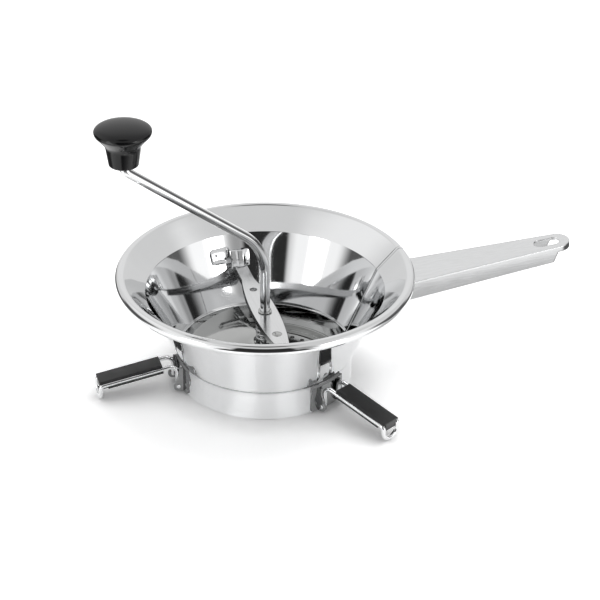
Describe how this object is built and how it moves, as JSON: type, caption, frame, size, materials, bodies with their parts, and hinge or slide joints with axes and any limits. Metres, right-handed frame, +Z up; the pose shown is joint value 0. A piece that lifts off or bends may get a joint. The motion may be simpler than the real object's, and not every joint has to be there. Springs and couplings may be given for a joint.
{
  "type": "food mill",
  "caption": "Hand-cranked food mill: a flared sheet-steel bowl with a handle and folding wire legs, a sprung pressing blade on a cranked shaft, and a perforated disc.",
  "frame": {"origin": "centre of the base ring, on the plane that the bowl and its feet stand on", "axes": "+X from the bowl's axis along the handle, +Y to the left of the handle, +Z up"},
  "size_m": [0.3213, 0.2014, 0.2056],
  "materials": {
    "polished_steel": "mirror-polished stainless sheet",
    "satin_steel": "lightly brushed stainless sheet",
    "stamped_steel": "bright stamped stainless strip",
    "inner_steel": "bright stainless sheet",
    "spring_steel": "drawn spring wire",
    "bright_rod": "bright chromed rod",
    "knob_plastic": "glossy moulded phenolic",
    "grip_plastic": "fine-grained moulded plastic"
  },
  "bodies": {
    "bowl": {"bowl_shell": "polished_steel", "handle": "satin_steel", "hook_1": "stamped_steel", "hook_2": "stamped_steel", "bracket_1": "stamped_steel", "bracket_2": "stamped_steel", "bracket_3": "stamped_steel", "grid_disc": "inner_steel"},
    "bar": {"crossbar": "satin_steel", "bar_rivet": "inner_steel", "spring": "spring_steel"},
    "press": {"spring_washer": "spring_steel"},
    "crank": {"crank_rod": "bright_rod", "shaft_clip": "inner_steel", "blade_hub": "inner_steel", "blade": "inner_steel"},
    "knob": {"knob": "knob_plastic"},
    "leg_1": {"leg_wire_1": "bright_rod", "leg_grip_1": "grip_plastic"},
    "leg_2": {"leg_wire_2": "bright_rod", "leg_grip_2": "grip_plastic"},
    "leg_3": {"leg_wire_3": "bright_rod", "leg_grip_3": "grip_plastic"}
  },
  "joints": [
    {"name": "bar_turn", "type": "hinge", "parent": "bowl", "child": "bar", "pos_m": [0, 0, 0.047], "axis": [0, 0, 1], "range_deg": [-30, 0]},
    {"name": "crank_lift", "type": "slide", "parent": "bar", "child": "press", "axis": [0, 0, 1], "range_m": [0, 0.004], "stiffness_N_per_m": 1500, "springref_m": -0.006, "deforming": ["spring"]},
    {"name": "crank_spin", "type": "hinge", "parent": "press", "child": "crank", "pos_m": [0, 0, 0.047], "axis": [0, 0, 1], "continuous": true},
    {"name": "knob_spin", "type": "hinge", "parent": "crank", "child": "knob", "pos_m": [-0.09497, -0.02723, 0.179], "axis": [0, 0, 1], "continuous": true},
    {"name": "leg_fold_1", "type": "hinge", "parent": "bowl", "child": "leg_1", "pos_m": [0.03015, 0.05222, 0.005], "axis": [-0.866, 0.5, 0], "range_deg": [0, 165]},
    {"name": "leg_fold_2", "type": "hinge", "parent": "bowl", "child": "leg_2", "pos_m": [-0.0603, 0, 0.005], "axis": [0, -1, 0], "range_deg": [0, 165]},
    {"name": "leg_fold_3", "type": "hinge", "parent": "bowl", "child": "leg_3", "pos_m": [0.03015, -0.05222, 0.005], "axis": [0.866, 0.5, 0], "range_deg": [0, 165]}
  ]
}
